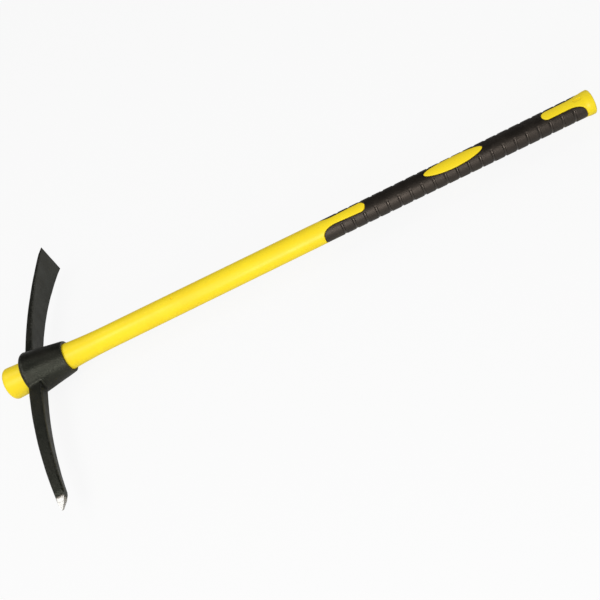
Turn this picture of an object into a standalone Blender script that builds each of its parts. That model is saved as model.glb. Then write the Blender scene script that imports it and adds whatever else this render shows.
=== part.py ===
"""Pick mattock: a forged head with an adze and a pick, slipped over a round fibreglass handle.

Lengths are in metres. The handle runs along +X from its swelled head end to its butt, the adze
points along +Y, the pick along -Y, and the tool lies on its side with +Z up.
"""

import math

import bmesh
import bpy

# Fits
CLEARANCE = 0.0003          # gap left between two pieces that touch
BORE_CHAMFER = 0.0005       # lead-in at both ends of the eye

# Handle, head end to butt
HANDLE_LENGTH = 0.900
HEAD_END_RADIUS = 0.0238    # swell at the head end, before its edge is rounded
HEAD_END_ROUND = 0.0055
SEAT_END_RADIUS = 0.0195    # where the eye's mouth lies
NECK_LENGTH = 0.0565
NECK_HOLLOW = 0.75          # part of the neck's fall that is a hollow curve; the rest is straight
NECK_END_RADIUS = 0.0169
SHAFT_END_RADIUS = 0.0163   # just before the grip
BUTT_RADIUS = 0.01755
BUTT_FLARE_LENGTH = 0.0070
BUTT_BAND_LENGTH = 0.0065
BUTT_ROUND = 0.0022

# Eye of the head, whose bore follows the handle's tapered seat
EYE_FACE_X = 0.0325         # plane of the eye's head-end face, from the handle's end
EYE_DEPTH = 0.0630
EYE_CREST_RADIUS = 0.0332   # widest, at the end of the rounded rim
EYE_RIM_ROUND = 0.0055
EYE_MOUTH_WALL = 0.0039
EYE_MOUTH_ROUND = 0.0010
EYE_MOUTH_RADIUS = SEAT_END_RADIUS + CLEARANCE + EYE_MOUTH_WALL
SEAT_END_X = EYE_FACE_X + EYE_DEPTH

# Grip, which ends where the butt starts to flare
GRIP_TURN = math.radians(11.0)   # how far the round handle stands turned in the eye
GRIP_LENGTH = 0.3920
GRIP_MIDDLE_FROM_REAR = 0.1615
GRIP_FRONT_RADIUS = 0.01605
GRIP_MIDDLE_RADIUS = 0.01634
GRIP_REAR_RADIUS = 0.01675
GRIP_EASE = 0.0120          # length over which shaft and grip run into each other
SLEEVE_THICKNESS = 0.0022
GRIP_REAR_X = HANDLE_LENGTH - BUTT_BAND_LENGTH - BUTT_FLARE_LENGTH
GRIP_MIDDLE_X = GRIP_REAR_X - GRIP_MIDDLE_FROM_REAR
GRIP_FRONT_X = GRIP_REAR_X - GRIP_LENGTH

# Grooves round the sleeve, as many as its length holds
GROOVE_FROM_FRONT = 0.0280
GROOVE_FROM_REAR = 0.0160   # least distance of the last one
GROOVE_PITCH = 0.01728
GROOVE_WIDTH = 0.0040
GROOVE_FLOOR = 0.0018
GROOVE_DEPTH = 0.0008
GROOVE_COUNT = 1 + int((GRIP_LENGTH - GROOVE_FROM_FRONT - GROOVE_FROM_REAR) / GROOVE_PITCH)

# Windows in the sleeve, which the jacket fills
LOBE_LENGTH = 0.0215        # length of the rounded corners at the sleeve's ends
LOBE_CREST = 0.0180         # half width where those corners start, past the handle's side
FRONT_WINDOW_LENGTH = 0.0690
FRONT_TIP_LENGTH = 0.0080
FRONT_HALF_WIDTH = 0.0078
FRONT_NECK_HALF_WIDTH = 0.0062
MIDDLE_FROM_REAR = 0.1900
MIDDLE_HALF_LENGTH = 0.0438
MIDDLE_HALF_WIDTH = 0.0097
REAR_WINDOW_LENGTH = 0.0587
REAR_TIP_LENGTH = 0.0080
REAR_HALF_WIDTH = 0.0076

# Marks moulded into the jacket
PIN_MARK_X = 0.2665
PIN_MARK_RADIUS = 0.0020
GATE_MARK_FROM_REAR = 0.0065
GATE_MARK_LENGTH = 0.0110
GATE_MARK_WIDTH = 0.0042
MARK_DEPTH = 0.0006

# Fibreglass core
CORE_RADIUS = 0.0107
CORE_RECESS = 0.0015        # how far it sits below the jacket's head end
CORE_BUTT_COVER = 0.0200    # plastic left between it and the butt

# Adze
ADZE_REACH = 0.2325
ADZE_SPINE_RADIUS = 0.715
ADZE_ROOT_WIDTH = 0.0298
ADZE_EDGE_WIDTH = 0.0530
ADZE_STRAIGHT_FLARE = 0.58  # part of the flare that grows evenly; the rest grows towards the edge
ADZE_ROOT_THICKNESS = 0.0130
ADZE_EDGE_THICKNESS = 0.0036
ADZE_CORNER = 0.0020
ADZE_BEVEL_LENGTH = 0.0110
ADZE_BEVEL_EDGE = 0.0012

# Pick
PICK_REACH = 0.2486
PICK_SPINE_RADIUS = 0.850
PICK_SET = 0.0012           # how far its spine lies below the eye's face
PICK_ROOT_WIDTH = 0.0195
PICK_END_WIDTH = 0.0098
PICK_ROOT_DEPTH = 0.0204
PICK_END_DEPTH = 0.0150
PICK_CORNER = 0.0028
POINT_LENGTH = 0.0260
POINT_SIDE = 0.0014
POINT_DROP = 0.0028         # how far the tip lies below the spine
POINT_FULLNESS = 0.0011     # bulge of its flats halfway along

# Where the arms run into the eye
ROOT_FILLET = 0.0025
ROOT_DEPTH = 0.0030         # how far they reach into the eye's wall
ARM_ROOT_Y = 0.0300         # where the arms' root sizes are taken

# Steps of round shapes, and what the cutters need
ROUND_STEPS = 64
GRIP_STEPS = 36
FILLET_STEPS = 6
OUTLINE_STEPS = 12
NECK_STEPS = 8
FLARE_STEPS = 4
CORNER_STEPS = 4
ARM_STEPS = 11
CORNER_LIMIT = 0.45         # most of a side that one rounded corner may take
CUTTER_REACH = 0.010        # how far a cutter runs past what it cuts


def material(name, colour, roughness, metallic=0.0):
    made = bpy.data.materials.new(name)
    made.use_nodes = True
    shader = made.node_tree.nodes["Principled BSDF"]
    shader.inputs["Base Color"].default_value = (*colour, 1.0)
    shader.inputs["Roughness"].default_value = roughness
    shader.inputs["Metallic"].default_value = metallic
    return made


def add_object(name, mesh, collection, parent, finish=None):
    obj = bpy.data.objects.new(name, mesh)
    collection.objects.link(obj)
    obj.parent = parent
    if finish:
        mesh.materials.append(finish)
    if collection is cutters:
        obj.hide_render = True
        obj.display_type = "WIRE"
    return obj


def turned(name, profile, steps, collection, parent, finish=None, ring=False):
    """A profile of (x, radius) points, butt side first, turned round the X axis."""
    mesh = bpy.data.meshes.new(name)
    count = len(profile)
    edges = [(i, i + 1) for i in range(count - 1)]
    if ring:
        edges.append((count - 1, 0))
    mesh.from_pydata([(radius, 0.0, x) for x, radius in profile], edges, [])
    obj = add_object(name, mesh, collection, parent, finish)
    obj.rotation_euler = (0.0, math.pi / 2, 0.0)
    screw = obj.modifiers.new("turn", "SCREW")
    screw.axis = "Z"
    screw.angle = math.tau
    screw.steps = steps
    screw.render_steps = steps
    screw.use_merge_vertices = True
    screw.merge_threshold = 0.00001
    return obj


def prism(name, outline, half_height, collection, parent):
    """A closed outline in the XY plane, drawn out both ways along Z."""
    mesh = bpy.data.meshes.new(name)
    shape = bmesh.new()
    below = [shape.verts.new((x, y, -half_height)) for x, y in outline]
    face = shape.faces.new(below)
    lifted = bmesh.ops.extrude_face_region(shape, geom=[face])["geom"]
    for vert in lifted:
        if isinstance(vert, bmesh.types.BMVert):
            vert.co.z = half_height
    bmesh.ops.recalc_face_normals(shape, faces=shape.faces)
    shape.to_mesh(mesh)
    shape.free()
    return add_object(name, mesh, collection, parent)


def lofted(name, rings, collection, parent, finish):
    """Skin over rings of equal point counts, capped at both ends."""
    mesh = bpy.data.meshes.new(name)
    shape = bmesh.new()
    loops = [[shape.verts.new(point) for point in ring] for ring in rings]
    count = len(rings[0])
    for near, far in zip(loops, loops[1:]):
        for j in range(count):
            k = (j + 1) % count
            shape.faces.new((near[j], near[k], far[k], far[j]))
    shape.faces.new(loops[0])
    shape.faces.new(loops[-1])
    bmesh.ops.recalc_face_normals(shape, faces=shape.faces)
    shape.to_mesh(mesh)
    shape.free()
    return add_object(name, mesh, collection, parent, finish)


def boolean(obj, operation, other):
    step = obj.modifiers.new(operation.lower() + "_" + other.name, "BOOLEAN")
    step.operation = operation
    step.solver = "EXACT"
    step.object = other
    return step


def quarter(centre, across, along, steps=FILLET_STEPS):
    """Points of a quarter ellipse that starts at centre + across and ends at centre + along."""
    points = []
    for i in range(steps + 1):
        angle = math.pi / 2 * i / steps
        points.append((
            centre[0] + across[0] * math.cos(angle) + along[0] * math.sin(angle),
            centre[1] + across[1] * math.cos(angle) + along[1] * math.sin(angle),
        ))
    return points


def inset(outline, distance):
    """The closed outline, drawn anticlockwise or not, moved inwards by a distance."""
    area = sum(a[0] * b[1] - b[0] * a[1] for a, b in zip(outline, outline[1:] + outline[:1]))
    side = math.copysign(1.0, area)
    moved = []
    for i, point in enumerate(outline):
        before = outline[i - 1]
        after = outline[(i + 1) % len(outline)]
        normals = []
        for a, b in ((before, point), (point, after)):
            length = math.dist(a, b)
            normals.append((-(b[1] - a[1]) / length * side, (b[0] - a[0]) / length * side))
        nx = normals[0][0] + normals[1][0]
        ny = normals[0][1] + normals[1][1]
        scale = 2.0 * distance / (nx * nx + ny * ny)
        moved.append((point[0] + nx * scale, point[1] + ny * scale))
    return moved


def mirrored(half):
    """A closed outline from its upper half, which starts and may end off the centre line."""
    lower = [(x, -y) for x, y in reversed(half) if abs(y) > 1e-9]
    return half + lower


def between(x, points):
    """Straight-line value at x of a rising list of (x, value) points."""
    for (x0, v0), (x1, v1) in zip(points, points[1:]):
        if x <= x1:
            return v0 + (v1 - v0) * (x - x0) / (x1 - x0)
    return points[-1][1]


# Radii along the handle

GRIP_RADII = [
    (GRIP_FRONT_X, GRIP_FRONT_RADIUS),
    (GRIP_MIDDLE_X, GRIP_MIDDLE_RADIUS),
    (GRIP_REAR_X, GRIP_REAR_RADIUS),
]


def grip_radius(x):
    return between(x, GRIP_RADII)


def seat_radius(x):
    """The tapered seat of the handle, which the eye's bore follows."""
    return HEAD_END_RADIUS + (SEAT_END_RADIUS - HEAD_END_RADIUS) * x / SEAT_END_X


def neck_points():
    """The hollow curve from the seat down to the shaft, shaft end first."""
    points = []
    for i in range(NECK_STEPS + 1):
        share = i / NECK_STEPS
        x = SEAT_END_X + NECK_LENGTH * (1 - share)
        fall = NECK_HOLLOW * share ** 2 + (1 - NECK_HOLLOW) * share
        points.append((x, NECK_END_RADIUS + (SEAT_END_RADIUS - NECK_END_RADIUS) * fall))
    return points


def butt_points():
    """The flared butt, from the middle of its end face to the end of the grip."""
    band_x = HANDLE_LENGTH - BUTT_BAND_LENGTH
    points = [(HANDLE_LENGTH, 0.0)]
    points += quarter(
        (HANDLE_LENGTH - BUTT_ROUND, BUTT_RADIUS - BUTT_ROUND),
        (BUTT_ROUND, 0.0),
        (0.0, BUTT_ROUND),
    )
    for i in range(FLARE_STEPS + 1):
        share = i / FLARE_STEPS
        rise = math.cos(math.pi * share) / 2 + 0.5
        x = band_x - BUTT_FLARE_LENGTH * share
        points.append((x, GRIP_REAR_RADIUS + (BUTT_RADIUS - GRIP_REAR_RADIUS) * rise))
    return points


def jacket_profile():
    points = butt_points()
    points.append((GRIP_MIDDLE_X, GRIP_MIDDLE_RADIUS))
    points.append((GRIP_FRONT_X + GRIP_EASE, grip_radius(GRIP_FRONT_X + GRIP_EASE)))
    points.append((GRIP_FRONT_X, (GRIP_FRONT_RADIUS + SHAFT_END_RADIUS) / 2))
    points.append((GRIP_FRONT_X - GRIP_EASE, SHAFT_END_RADIUS))
    points += neck_points()
    edge_radius = seat_radius(HEAD_END_ROUND)
    points += quarter(
        (HEAD_END_ROUND, edge_radius - HEAD_END_ROUND),
        (0.0, HEAD_END_ROUND),
        (-HEAD_END_ROUND, 0.0),
    )
    points.append((0.0, 0.0))
    return points


def sleeve_profile():
    """Grooved outside and plain inside, as a closed ring."""
    points = [(GRIP_REAR_X, GRIP_REAR_RADIUS)]
    for i in reversed(range(GROOVE_COUNT)):
        middle = GRIP_FRONT_X + GROOVE_FROM_FRONT + GROOVE_PITCH * i
        for offset, depth in (
            (GROOVE_WIDTH / 2, 0.0),
            (GROOVE_FLOOR / 2, GROOVE_DEPTH),
            (-GROOVE_FLOOR / 2, GROOVE_DEPTH),
            (-GROOVE_WIDTH / 2, 0.0),
        ):
            points.append((middle + offset, grip_radius(middle + offset) - depth))
    points.append((GRIP_FRONT_X, GRIP_FRONT_RADIUS))
    for x, radius in GRIP_RADII:
        points.append((x, radius - SLEEVE_THICKNESS + CLEARANCE))
    return points


def recess_profile():
    """The room in the jacket that the sleeve fills, as a closed ring."""
    front = GRIP_FRONT_X - CLEARANCE
    rear = GRIP_REAR_X + CLEARANCE
    outside = BUTT_RADIUS + SLEEVE_THICKNESS
    return [
        (rear, outside),
        (front, outside),
        (front, GRIP_FRONT_RADIUS - SLEEVE_THICKNESS),
        (GRIP_MIDDLE_X, GRIP_MIDDLE_RADIUS - SLEEVE_THICKNESS),
        (rear, GRIP_REAR_RADIUS - SLEEVE_THICKNESS),
    ]


def front_window():
    past = GRIP_FRONT_X - LOBE_LENGTH
    neck_x = GRIP_FRONT_X + LOBE_LENGTH
    tip_start = GRIP_FRONT_X + FRONT_WINDOW_LENGTH - FRONT_TIP_LENGTH
    half = [(past, LOBE_CREST), (GRIP_FRONT_X, LOBE_CREST)]
    half += quarter(
        (neck_x, LOBE_CREST),
        (-LOBE_LENGTH, 0.0),
        (0.0, FRONT_NECK_HALF_WIDTH - LOBE_CREST),
        OUTLINE_STEPS,
    )[1:]
    half += quarter(
        (tip_start, 0.0),
        (0.0, FRONT_HALF_WIDTH),
        (FRONT_TIP_LENGTH, 0.0),
        OUTLINE_STEPS,
    )
    return mirrored(half)


def middle_window():
    outline = []
    for i in range(4 * OUTLINE_STEPS):
        angle = math.tau * i / (4 * OUTLINE_STEPS)
        outline.append((
            GRIP_REAR_X - MIDDLE_FROM_REAR + MIDDLE_HALF_LENGTH * math.cos(angle),
            MIDDLE_HALF_WIDTH * math.sin(angle),
        ))
    return outline


def rear_window():
    past = GRIP_REAR_X + LOBE_LENGTH
    neck_x = GRIP_REAR_X - LOBE_LENGTH
    tip_start = GRIP_REAR_X - REAR_WINDOW_LENGTH + REAR_TIP_LENGTH
    half = [(past, LOBE_CREST), (GRIP_REAR_X, LOBE_CREST)]
    half += quarter(
        (neck_x, LOBE_CREST),
        (LOBE_LENGTH, 0.0),
        (0.0, REAR_HALF_WIDTH - LOBE_CREST),
        OUTLINE_STEPS,
    )[1:]
    half += quarter(
        (tip_start, 0.0),
        (0.0, REAR_HALF_WIDTH),
        (-REAR_TIP_LENGTH, 0.0),
        OUTLINE_STEPS,
    )
    return mirrored(half)


def rounded_section(low, high, width, corner):
    """Outline of a rectangle with rounded corners, as (x, z, outward x, outward z)."""
    corner = min(corner, CORNER_LIMIT * (high - low), CORNER_LIMIT * width)
    centres = (
        (high - corner, width / 2 - corner, 0.0),
        (low + corner, width / 2 - corner, 0.5),
        (low + corner, corner - width / 2, 1.0),
        (high - corner, corner - width / 2, 1.5),
    )
    outline = []
    for x, z, start in centres:
        for i in range(CORNER_STEPS + 1):
            angle = math.pi * (start + 0.5 * i / CORNER_STEPS)
            out_x = math.cos(angle)
            out_z = math.sin(angle)
            outline.append((x + corner * out_x, z + corner * out_z, out_x, out_z))
    return outline


def spine_x(y, radius, offset=0.0):
    """The arms' head-side line: an arc that leaves the eye squarely and bends to the grip."""
    return EYE_FACE_X + offset + radius - math.sqrt(radius * radius - y * y)


def eye_radius(x):
    """Outside radius of the eye, with its rounded rim."""
    from_face = max(x - EYE_FACE_X, 0.0)
    if from_face < EYE_RIM_ROUND:
        drop = EYE_RIM_ROUND - from_face
        return EYE_CREST_RADIUS - EYE_RIM_ROUND + math.sqrt(EYE_RIM_ROUND ** 2 - drop ** 2)
    share = (from_face - EYE_RIM_ROUND) / (EYE_DEPTH - EYE_RIM_ROUND)
    return EYE_CREST_RADIUS + (EYE_MOUTH_RADIUS - EYE_CREST_RADIUS) * share


def arm_rings(section, side, end):
    """Rings of an arm: a fillet that springs from the eye's own surface, then plain sections."""
    fillet_end = EYE_CREST_RADIUS + ROOT_FILLET
    root = section(fillet_end)
    feet = [(-ROOT_DEPTH, ROOT_FILLET)]
    for i in range(FILLET_STEPS + 1):
        angle = math.pi / 2 * (1 - i / FILLET_STEPS)
        feet.append((ROOT_FILLET * (1 - math.sin(angle)), ROOT_FILLET * (1 - math.cos(angle))))
    rings = []
    for height, flare in feet:
        ring = []
        for x, z, out_x, out_z in root:
            x += flare * max(out_x, 0.0)
            z += flare * out_z
            y = math.sqrt(eye_radius(x) ** 2 - z * z) + height
            ring.append((x, side * y, z))
        rings.append(ring)
    for i in range(1, ARM_STEPS + 1):
        y = fillet_end + (end - fillet_end) * i / ARM_STEPS
        rings.append([(x, side * y, z) for x, z, _, _ in section(y)])
    return rings


def adze_section(y):
    share = (y - ARM_ROOT_Y) / (ADZE_REACH - ARM_ROOT_Y)
    grown = ADZE_STRAIGHT_FLARE * share + (1 - ADZE_STRAIGHT_FLARE) * share ** 2
    width = ADZE_ROOT_WIDTH + (ADZE_EDGE_WIDTH - ADZE_ROOT_WIDTH) * grown
    thickness = ADZE_ROOT_THICKNESS + (ADZE_EDGE_THICKNESS - ADZE_ROOT_THICKNESS) * share
    low = spine_x(y, ADZE_SPINE_RADIUS)
    high = low + thickness
    bevel = max(0.0, (y - ADZE_REACH + ADZE_BEVEL_LENGTH) / ADZE_BEVEL_LENGTH)
    low += bevel * (thickness - ADZE_BEVEL_EDGE)
    return rounded_section(low, high, width, ADZE_CORNER)


def adze_rings():
    """The blade up to its bevel, and the edge."""
    rings = arm_rings(adze_section, 1, ADZE_REACH - ADZE_BEVEL_LENGTH)
    rings.append([(x, ADZE_REACH, z) for x, z, _, _ in adze_section(ADZE_REACH)])
    return rings


def pick_size(y):
    """Spine, depth and width of the square bar at a distance from the axis."""
    share = (y - ARM_ROOT_Y) / (PICK_REACH - POINT_LENGTH - ARM_ROOT_Y)
    width = PICK_ROOT_WIDTH + (PICK_END_WIDTH - PICK_ROOT_WIDTH) * share
    depth = PICK_ROOT_DEPTH + (PICK_END_DEPTH - PICK_ROOT_DEPTH) * share
    return spine_x(y, PICK_SPINE_RADIUS, PICK_SET), depth, width


def pick_section(y):
    low, depth, width = pick_size(y)
    return rounded_section(low, low + depth, width, PICK_CORNER)


def point_rings():
    """The pyramid that the point is ground to, drawn on behind it so that it clears the bar."""
    start_y = PICK_REACH - POINT_LENGTH
    start, depth, width = pick_size(start_y)
    tip = spine_x(PICK_REACH, PICK_SPINE_RADIUS, PICK_SET) + POINT_DROP
    rings = []
    for share, bulge in ((-0.5, 0.0), (0.0, 0.0), (0.5, POINT_FULLNESS), (1.0, 0.0)):
        y = start_y + POINT_LENGTH * share
        low = start + (tip - POINT_SIDE / 2 - start) * share - bulge / 2
        high = start + depth + (tip + POINT_SIDE / 2 - start - depth) * share + bulge
        half = (width + (POINT_SIDE - width) * share) / 2 + bulge / 2
        if share < 0.0:
            low = start - depth
            high = start + 2 * depth
            half = width
        rings.append([(high, -y, half), (low, -y, half), (low, -y, -half), (high, -y, -half)])
    return rings


def stone_rings():
    """The block round the point, which holds all that is ground away."""
    start_y = PICK_REACH - POINT_LENGTH
    start, depth, width = pick_size(start_y)
    low = start - 2 * depth
    high = start + 3 * depth
    half = 2 * width
    rings = []
    for y in (start_y - 0.25 * POINT_LENGTH, PICK_REACH + POINT_LENGTH):
        rings.append([(high, -y, half), (low, -y, half), (low, -y, -half), (high, -y, -half)])
    return rings


def eye_profile():
    mouth_x = EYE_FACE_X + EYE_DEPTH
    points = [(mouth_x, 0.0)]
    points += quarter(
        (mouth_x - EYE_MOUTH_ROUND, EYE_MOUTH_RADIUS - EYE_MOUTH_ROUND),
        (EYE_MOUTH_ROUND, 0.0),
        (0.0, EYE_MOUTH_ROUND),
        FILLET_STEPS // 2,
    )
    points += quarter(
        (EYE_FACE_X + EYE_RIM_ROUND, EYE_CREST_RADIUS - EYE_RIM_ROUND),
        (0.0, EYE_RIM_ROUND),
        (-EYE_RIM_ROUND, 0.0),
    )
    points.append((EYE_FACE_X, 0.0))
    return points


def bore_profile():
    """The tapered hole of the eye, a clearance wider than the handle's seat."""
    mouth_x = EYE_FACE_X + EYE_DEPTH
    mouth = seat_radius(mouth_x) + CLEARANCE
    face = seat_radius(EYE_FACE_X) + CLEARANCE
    return [
        (mouth_x + CUTTER_REACH, 0.0),
        (mouth_x + CUTTER_REACH, mouth + BORE_CHAMFER),
        (mouth_x, mouth + BORE_CHAMFER),
        (mouth_x - 2 * BORE_CHAMFER, mouth),
        (EYE_FACE_X + 2 * BORE_CHAMFER, face),
        (EYE_FACE_X, face + BORE_CHAMFER),
        (EYE_FACE_X - CUTTER_REACH, face + BORE_CHAMFER),
        (EYE_FACE_X - CUTTER_REACH, 0.0),
    ]


def core_profile(radius, start, end):
    return [(end, 0.0), (end, radius), (start, radius), (start, 0.0)]


def slot_outline(x, length, width):
    """A slot with round ends, along X."""
    radius = width / 2
    reach = (length - width) / 2
    outline = []
    for i in range(OUTLINE_STEPS + 1):
        angle = math.pi * i / OUTLINE_STEPS
        outline.append((x + reach + radius * math.sin(angle), -radius * math.cos(angle)))
    for i in range(OUTLINE_STEPS + 1):
        angle = math.pi * i / OUTLINE_STEPS
        outline.append((x - reach - radius * math.sin(angle), radius * math.cos(angle)))
    return outline


def disc_outline(x, radius):
    outline = []
    for i in range(2 * OUTLINE_STEPS):
        angle = math.tau * i / (2 * OUTLINE_STEPS)
        outline.append((x + radius * math.cos(angle), radius * math.sin(angle)))
    return outline


def marker(name, outline, surface):
    """A cutter that sinks an outline into the side of the jacket that faces up."""
    obj = prism(name, outline, CUTTER_REACH, cutters, handle_frame)
    obj.location.z = surface - MARK_DEPTH + CUTTER_REACH
    return obj


for old in list(bpy.data.objects):
    bpy.data.objects.remove(old)

parts = bpy.data.collections.new("pick_mattock")
cutters = bpy.data.collections.new("pick_mattock_cutters")
bpy.context.scene.collection.children.link(parts)
bpy.context.scene.collection.children.link(cutters)

# Finishes
black_paint = material("black_paint", (0.022, 0.024, 0.022), 0.48, 0.0)
ground_steel = material("ground_steel", (0.74, 0.74, 0.73), 0.28, 1.0)
yellow_plastic = material("yellow_plastic", (0.95, 0.66, 0.010), 0.38)
black_rubber = material("black_rubber", (0.026, 0.024, 0.022), 0.68)
bare_fibreglass = material("bare_fibreglass", (0.66, 0.60, 0.44), 0.55)

# Frames: the whole tool stands centred over the origin, and the head's frame lies on its slide axis.
root = bpy.data.objects.new("tool_frame", None)
parts.objects.link(root)
root.location = (-HANDLE_LENGTH / 2, (PICK_REACH - ADZE_REACH) / 2, EYE_CREST_RADIUS)
handle_frame = bpy.data.objects.new("handle_frame", None)
parts.objects.link(handle_frame)
handle_frame.parent = root
handle_frame.rotation_euler = (GRIP_TURN, 0.0, 0.0)
head_frame = bpy.data.objects.new("head_frame", None)
parts.objects.link(head_frame)
head_frame.parent = root

# Head: eye, adze and pick joined as one forging, then bored to the handle's taper
head = turned("pick_mattock_head", eye_profile(), ROUND_STEPS, parts, head_frame, black_paint)
adze = lofted("adze_blank", adze_rings(), cutters, head_frame, black_paint)
bar_end = PICK_REACH + POINT_LENGTH / 4
pick = lofted("pick_blank", arm_rings(pick_section, -1, bar_end), cutters, head_frame, black_paint)
point = lofted("point_pyramid", point_rings(), cutters, head_frame, ground_steel)
stone = lofted("point_stone", stone_rings(), cutters, head_frame, ground_steel)
boolean(stone, "DIFFERENCE", point)
boolean(pick, "DIFFERENCE", stone).material_mode = "TRANSFER"
bore = turned("eye_bore", bore_profile(), ROUND_STEPS, cutters, head_frame)
for arm in (adze, pick):
    boolean(head, "UNION", arm).material_mode = "TRANSFER"
boolean(head, "DIFFERENCE", bore)

# Core: a plain rod, set below the head end and covered at the butt
core_end = HANDLE_LENGTH - CORE_BUTT_COVER
core = turned(
    "fibreglass_core",
    core_profile(CORE_RADIUS, CORE_RECESS, core_end),
    ROUND_STEPS // 2,
    parts,
    handle_frame,
    bare_fibreglass,
)

# Sleeve: a grooved tube with its windows cut through both sides
sleeve = turned("grip_sleeve", sleeve_profile(), GRIP_STEPS, parts, handle_frame, black_rubber, True)
# Jacket: one moulding, with a recess for the sleeve that leaves the windows standing
jacket = turned("handle_jacket", jacket_profile(), GRIP_STEPS, parts, handle_frame, yellow_plastic)
recess = turned("sleeve_recess", recess_profile(), GRIP_STEPS, cutters, handle_frame, ring=True)
past_side = BUTT_RADIUS + 2 * SLEEVE_THICKNESS
for name, outline in (
    ("front", front_window()),
    ("middle", middle_window()),
    ("rear", rear_window()),
):
    opening = prism(name + "_window", outline, past_side, cutters, handle_frame)
    boolean(sleeve, "DIFFERENCE", opening)
    island = prism(name + "_island", inset(outline, CLEARANCE), past_side, cutters, handle_frame)
    boolean(recess, "DIFFERENCE", island)
boolean(jacket, "DIFFERENCE", recess)
core_bore = turned(
    "core_bore",
    core_profile(CORE_RADIUS + CLEARANCE, -CUTTER_REACH, core_end + CLEARANCE),
    ROUND_STEPS // 2,
    cutters,
    handle_frame,
)
boolean(jacket, "DIFFERENCE", core_bore)

# Marks left by moulding: a support pin on the shaft and the gate on the butt's window
shaft_radii = [(SEAT_END_X + NECK_LENGTH, NECK_END_RADIUS), (GRIP_FRONT_X, SHAFT_END_RADIUS)]
pin_mark = marker("pin_mark", disc_outline(PIN_MARK_X, PIN_MARK_RADIUS), between(PIN_MARK_X, shaft_radii))
gate_mark = marker(
    "gate_mark",
    slot_outline(GRIP_REAR_X - GATE_MARK_FROM_REAR, GATE_MARK_LENGTH, GATE_MARK_WIDTH),
    GRIP_REAR_RADIUS,
)
boolean(jacket, "DIFFERENCE", pin_mark)
boolean(jacket, "DIFFERENCE", gate_mark)
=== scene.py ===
# %% [markdown]
# # A pick mattock: yellow plastic, black rubber and painted steel
#
# This lesson dresses a measured tool in its real surfaces. The frame that is loaded first holds the
# tool's four pieces as plain faceted solids, at their true size. Each of them gets a finer piece of
# the same size here, with the edges, grooves and finish that the eye looks for.

# %% Load the frame
import math

import bmesh
import bpy
import numpy as np
from mathutils import Matrix, Vector, noise
from mathutils.kdtree import KDTree


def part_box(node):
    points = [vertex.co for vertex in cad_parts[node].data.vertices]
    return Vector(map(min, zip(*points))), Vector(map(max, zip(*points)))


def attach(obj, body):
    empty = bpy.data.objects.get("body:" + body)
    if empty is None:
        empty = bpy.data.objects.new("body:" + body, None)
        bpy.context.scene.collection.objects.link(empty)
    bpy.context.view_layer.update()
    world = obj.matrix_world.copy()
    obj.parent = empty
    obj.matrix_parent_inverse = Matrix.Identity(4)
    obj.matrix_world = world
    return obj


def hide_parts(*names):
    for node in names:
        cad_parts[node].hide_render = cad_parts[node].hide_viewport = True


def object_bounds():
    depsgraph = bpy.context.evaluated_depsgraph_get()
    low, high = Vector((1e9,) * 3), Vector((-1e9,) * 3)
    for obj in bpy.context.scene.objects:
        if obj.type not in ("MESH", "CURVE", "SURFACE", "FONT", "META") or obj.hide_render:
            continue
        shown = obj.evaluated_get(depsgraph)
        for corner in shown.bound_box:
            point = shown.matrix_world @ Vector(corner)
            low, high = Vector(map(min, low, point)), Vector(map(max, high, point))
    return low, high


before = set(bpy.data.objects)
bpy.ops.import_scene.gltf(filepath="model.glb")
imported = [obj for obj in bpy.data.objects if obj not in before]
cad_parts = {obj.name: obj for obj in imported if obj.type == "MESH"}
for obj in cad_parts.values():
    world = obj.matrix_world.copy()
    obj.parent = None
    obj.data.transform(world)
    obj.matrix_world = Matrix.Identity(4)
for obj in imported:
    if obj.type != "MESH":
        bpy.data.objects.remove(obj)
cad_low, cad_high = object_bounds()

# %% [markdown]
# ## Where things are
#
# The tool lies on its side. Its handle runs along X, the adze points along +Y and the pick along -Y.
# Every place below is counted from the middle of the handle's head end, so one vector puts a finished
# mesh where the frame has its solid. The boxes of the frame's nodes give the main sizes.

# %% Measure the frame
jacket_low, jacket_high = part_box("handle_jacket")
core_low, core_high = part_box("fibreglass_core")
head_low, head_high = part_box("pick_mattock_head")
HEAD_END = (jacket_low + jacket_high) / 2
HEAD_END.x = jacket_low.x
HANDLE_LENGTH = jacket_high.x - jacket_low.x
CORE_START = core_low.x - HEAD_END.x
CORE_END = core_high.x - HEAD_END.x
CORE_RADIUS = (core_high.z - core_low.z) / 2
EYE_FACE = head_low.x - HEAD_END.x
EYE_MOUTH = head_high.x - HEAD_END.x
EYE_RADIUS = HEAD_END.z - head_low.z
ADZE_REACH = head_high.y - HEAD_END.y
PICK_REACH = HEAD_END.y - head_low.y
CLEARANCE = 0.0003
print(f"handle {HANDLE_LENGTH:.3f} m long, adze {ADZE_REACH:.4f} m, pick {PICK_REACH:.4f} m from its axis")

# %% [markdown]
# ## The camera first
#
# A long handle shows at once if the camera stands wrong, so the camera is settled before any surface.
# It is given as a place and two directions: where it looks from, and which way the picture's right
# and top edges lie. The handle then runs from the lower left to the upper right of the picture.

# %% Camera
CAMERA_FROM_HEAD_END = Vector((0.5652, -0.9292, 0.8200))
PICTURE_RIGHT = Vector((0.8977, -0.2581, -0.3571))
PICTURE_UP = Vector((0.4353, 0.6441, 0.6290))
CAMERA_LENS_MM = 53.76
CAMERA_SHIFT = -0.05
NEAREST_SEEN = 0.01


def add_object(name, data):
    obj = bpy.data.objects.new(name, data)
    bpy.context.scene.collection.objects.link(obj)
    return obj


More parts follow.
